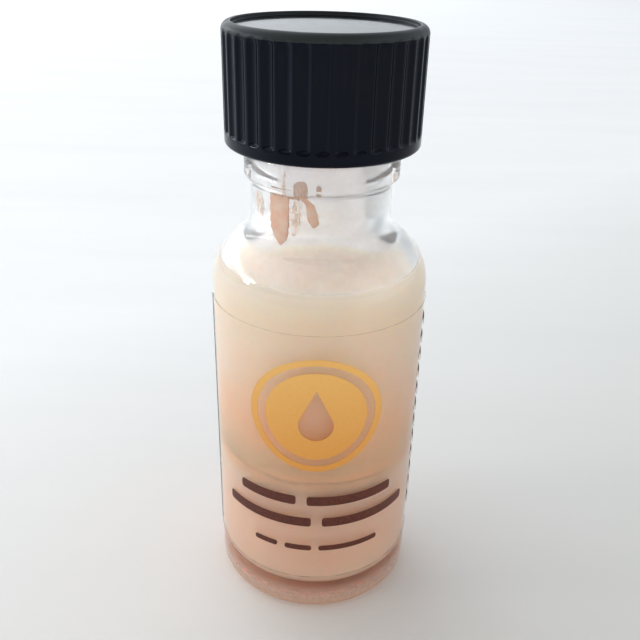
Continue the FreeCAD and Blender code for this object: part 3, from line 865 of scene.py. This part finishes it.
def bar_panel(start, sweep, low, tall, inner, outer):
    """A bar with rounded corners, from a start azimuth through a sweep."""
    corner = min(0.4 * tall, 0.35)
    length = math.radians(sweep) * outer
    bend = corner * (1 - np.cos(np.radians(np.linspace(0, 90, 7))))
    middle = np.linspace(corner, length - corner, max(3, int(sweep / 1.5)))
    along = np.concatenate([bend, middle[1:-1], length - bend[::-1]])
    aside = np.clip(corner - np.minimum(along, length - along), 0, corner)
    half = tall / 2 - corner + np.sqrt(np.maximum(corner**2 - aside**2, 0))
    rows = np.linspace(-1, 1, 3)[:, None]
    heights = low + tall / 2 + rows * half
    azimuths = start + np.degrees(along / outer) + 0 * rows
    return azimuths, heights, np.full_like(heights, inner), np.full_like(heights, outer), False


def loop_panel(inside, outside, rows):
    """Ink between two closed outlines of (across, up) points that go round together."""
    share = np.linspace(0, 1, rows)[:, None, None]
    points = np.array(inside)[None] * (1 - share) + np.array(outside)[None] * share
    azimuths = np.degrees(np.arcsin(points[:, :, 0] / INK_OUTSIDE))
    heights = points[:, :, 1]
    return azimuths, heights, np.full_like(heights, FILM_OUTSIDE), np.full_like(heights, INK_OUTSIDE), True


def turned(angles, radii, up):
    """An outline of (across, up) points at given radii about a point on the front's middle line."""
    return list(zip(radii * np.cos(angles), up + radii * np.sin(angles)))


def make_emblem(ink):
    """A generic device: a ring round a disc with a plain drop left clear in it."""
    low, high = box_mm("label_emblem")
    middle = (low.z + high.z) / 2
    angles = np.linspace(0, 2 * math.pi, 120, endpoint=False)
    lean = math.acos(DROP_RADIUS / DROP_POINT)
    from_top = np.abs((angles - math.pi / 2 + math.pi) % (2 * math.pi) - math.pi)
    drop = DROP_RADIUS / np.cos(np.maximum(lean - from_top, 0))
    off = -DROP_OFFSET * np.sin(angles)
    reach = -off + np.sqrt(off**2 - DROP_OFFSET**2 + DISC_RADIUS**2)
    up = middle - DROP_OFFSET
    ring = loop_panel(turned(angles, RING_INSIDE, middle), turned(angles, RING_OUTSIDE, middle), 3)
    disc = loop_panel(turned(angles, drop, up), turned(angles, reach, up), 10)
    piece = wrapped("printed_device", [ring, disc])
    settle(piece, "bottle", "label_emblem", "orange_ink", ink)


def make_bars(name, node, rows, ink):
    """Plain bars that stand for lines of print."""
    piece = wrapped(name, [bar_panel(*row, FILM_OUTSIDE, INK_OUTSIDE) for row in rows])
    settle(piece, "bottle", node, "brown_ink", ink)


def make_film():
    """The label film, with darkened cut edges."""
    tall = film_high.z - film_low.z
    sheet = bar_panel(LABEL_START, LABEL_SWEEP, film_low.z, tall, FILM_INSIDE, FILM_OUTSIDE)
    piece = wrapped("label_film_wrap", [sheet])
    level = film_edge_material("label_film_edge", rgb(110, 92, 92), rgb(150, 130, 124), 0.08, 0.42)
    upright = film_edge_material("label_film_seam", rgb(70, 52, 60), rgb(110, 90, 92), 0.7, 0.95)
    settle(piece, "bottle", "label_film", "clear_film", film_material(), level, upright)
    for face in piece.data.polygons:
        out = Vector((face.center.x, face.center.y, 0)).normalized()
        faces_sideways = abs(face.normal.dot(out)) < 0.5
        if faces_sideways:
            face.material_index = 1 if abs(face.normal.z) > 0.5 else 2


def wobble(values, size, seed):
    """A small fixed unevenness along an edge."""
    slow = np.sin(values * 2.1 + seed)
    medium = np.sin(values * 5.3 + 2 * seed)
    fast = np.sin(values * 11.7 + 3 * seed)
    return size * (slow + 0.7 * medium + 0.4 * fast)


def run_panel(spine, thickness, seed, ragged=0.5):
    """A dried run down the bore, from the top of its spine to the bottom. ragged is how far its edges wander,
    in degrees."""
    azimuths, halves, heights = np.array(spine, float).T
    along = np.linspace(0, len(spine) - 1, 10 * (len(spine) - 1) + 1)
    steps = np.arange(len(spine))
    middle, half, height = (np.interp(along, steps, part) for part in (azimuths, halves, heights))
    kernel = np.hanning(9) / np.hanning(9).sum()
    smooth = [np.convolve(np.pad(part, 4, mode="edge"), kernel, "valid") for part in (middle, half)]
    middle, half = smooth[0], np.maximum(smooth[1], 0.15)
    left = middle - half + wobble(height * 3, ragged, seed)
    right = middle + half + wobble(height * 3.4, ragged, seed + 1.3)
    share = np.linspace(0, 1, 11)[None]
    grid = left[:, None] * (1 - share) + right[:, None] * share
    level = height[:, None] + 0 * share
    ends = np.sqrt(np.clip(np.minimum(along, along[-1] - along) / 3, 0, 1))[:, None]
    crown = np.sqrt(np.clip(1 - (2 * share - 1) ** 4, 0, 1))
    inside = glass_inside()
    wall = np.array([radius_at(inside, z) for z in height])[:, None]
    lumps = 1 + 0.25 * np.sin(grid * 0.9 + seed) * np.sin(level * 3.1 + seed)
    inner = wall - RESIDUE_SINK - thickness * ends * crown * lumps
    outer = wall + RESIDUE_SINK + 0 * grid
    return grid[::-1], level[::-1], inner[::-1], outer[::-1], False


def panel_faces(panel):
    """How many faces wrapped() makes from an open panel."""
    rows, columns = panel[0].shape
    return 2 * (rows - 1) * (columns - 1) + 2 * (rows - 1) + 2 * (columns - 1)


def make_residue():
    """Dried lotion inside the neck: two runs, the smear and spots above them, and fainter streaks."""
    thick = RESIDUE_THICK
    groups = [
        [run_panel(MAIN_RUN, thick, 0.4), run_panel(SHORT_RUN, thick, 1.9)],
        [
            run_panel(SMEAR, 0.6 * thick, 4.2, 0.0),
            run_panel(BLOB, thick, 2.2, 0.3),
            run_panel(DOT, thick, 0.9, 0.2),
        ],
        [
            run_panel(FAINT_RUN, 0.4 * thick, 3.1, 0.8),
            run_panel(UPPER_STREAK, 0.4 * thick, 5.5),
            run_panel(WASH, 0.25 * thick, 6.3, 1.2),
        ],
    ]
    piece = wrapped("dried_lotion_runs", sum(groups, []), smooth=True)
    brown, tan = (0.7, 0.45, 0.33, 1), (0.9, 0.68, 0.55, 1)
    pink, cream = (0.95, 0.68, 0.54, 1), (0.95, 0.88, 0.78, 1)
    smear = thin_residue_material("dried_lotion_smear", brown, tan, 0.55, 0.95)
    film = thin_residue_material("dried_lotion_film", pink, cream, 0.15, 0.7)
    settle(piece, "bottle", "dried_residue", "dried_lotion", residue_material(), smear, film)
    indices = []
    for index, group in enumerate(groups):
        indices += [index] * sum(panel_faces(panel) for panel in group)
    piece.data.polygons.foreach_set("material_index", indices)


# Stage -----------------------------------------------------------------------------------------------------


def make_floor():
    """A plain pale floor."""
    half = FLOOR_HALF
    corners = [(-half, -half, 0), (half, -half, 0), (half, half, 0), (-half, half, 0)]
    floor = make_object("pale_floor", corners, [(0, 1, 2, 3)], smooth=False)
    floor.data.materials.append(floor_material())


def make_light(name, place, target, size, power, colour, mirrored):
    """A rectangular lamp, seen in glass and shiny surfaces only if mirrored is true."""
    lamp = bpy.data.lights.new(name, "AREA")
    lamp.shape = "RECTANGLE"
    lamp.size, lamp.size_y = size
    lamp.energy = power
    lamp.color = colour
    holder = bpy.data.objects.new(name, lamp)
    holder.location = place
    holder.rotation_mode = "QUATERNION"
    holder.rotation_quaternion = (Vector(target) - Vector(place)).to_track_quat("-Z", "Y")
    holder.visible_glossy = holder.visible_transmission = mirrored
    bpy.context.scene.collection.objects.link(holder)


def make_world():
    """Soft light from a room, as a sum of glows that each face one way."""
    world = bpy.data.worlds.new("studio")
    bpy.context.scene.world = world
    world.use_nodes = True
    tree = world.node_tree
    tree.nodes.clear()
    out = tree.nodes.new("ShaderNodeOutputWorld")
    place = tree.nodes.new("ShaderNodeTexCoord")
    total = None
    for direction, start, strength, colour in ROOM_GLOWS:
        facing = tree.nodes.new("ShaderNodeVectorMath")
        facing.operation = "DOT_PRODUCT"
        facing.inputs[1].default_value = Vector(direction).normalized()
        ramp = tree.nodes.new("ShaderNodeMapRange")
        ramp.interpolation_type = "SMOOTHSTEP"
        ramp.inputs["From Min"].default_value = start
        ramp.inputs["To Max"].default_value = strength
        glow = tree.nodes.new("ShaderNodeBackground")
        glow.inputs["Color"].default_value = (*colour, 1)
        tree.links.new(place.outputs["Generated"], facing.inputs[0])
        tree.links.new(facing.outputs["Value"], ramp.inputs["Value"])
        tree.links.new(ramp.outputs["Result"], glow.inputs["Strength"])
        if total is None:
            total = glow
            continue
        both = tree.nodes.new("ShaderNodeAddShader")
        tree.links.new(total.outputs[0], both.inputs[0])
        tree.links.new(glow.outputs[0], both.inputs[1])
        total = both
    tree.links.new(total.outputs[0], out.inputs["Surface"])


def make_camera():
    """Close, in front and looking down, where the whole bottle fills the frame."""
    data = bpy.data.cameras.new("camera")
    data.lens = CAMERA_LENS
    data.clip_start = 0.001
    camera = bpy.data.objects.new("camera", data)
    pitch, turn, roll = CAMERA_PITCH, CAMERA_TURN, CAMERA_ROLL
    ahead = Vector((math.sin(turn) * math.cos(pitch), math.cos(turn) * math.cos(pitch), -math.sin(pitch)))
    right = Vector((math.cos(turn), -math.sin(turn), 0))
    up = right.cross(ahead)
    rolled_right = math.cos(roll) * right + math.sin(roll) * up
    rolled_up = -math.sin(roll) * right + math.cos(roll) * up
    turned = Matrix((rolled_right, rolled_up, -ahead)).transposed().to_4x4()
    camera.matrix_world = Matrix.Translation(CAMERA_PLACE) @ turned
    bpy.context.scene.collection.objects.link(camera)
    bpy.context.scene.camera = camera


make_camera()
make_world()
for lamp in LAMPS:
    make_light(*lamp)
make_floor()
make_glass()
make_cap()
dress_liner()
make_liquid()
make_sediment()
make_residue()
make_film()
make_emblem(orange_ink_material())
brown_ink = brown_ink_material()
make_bars("front_print_bars", "label_front_bars", FRONT_BARS, brown_ink)
make_bars("back_print_bars", "label_back_bars", BACK_BARS, brown_ink)
bpy.context.scene.view_settings.view_transform = "Standard"
bpy.context.scene.view_settings.gamma = 0.8
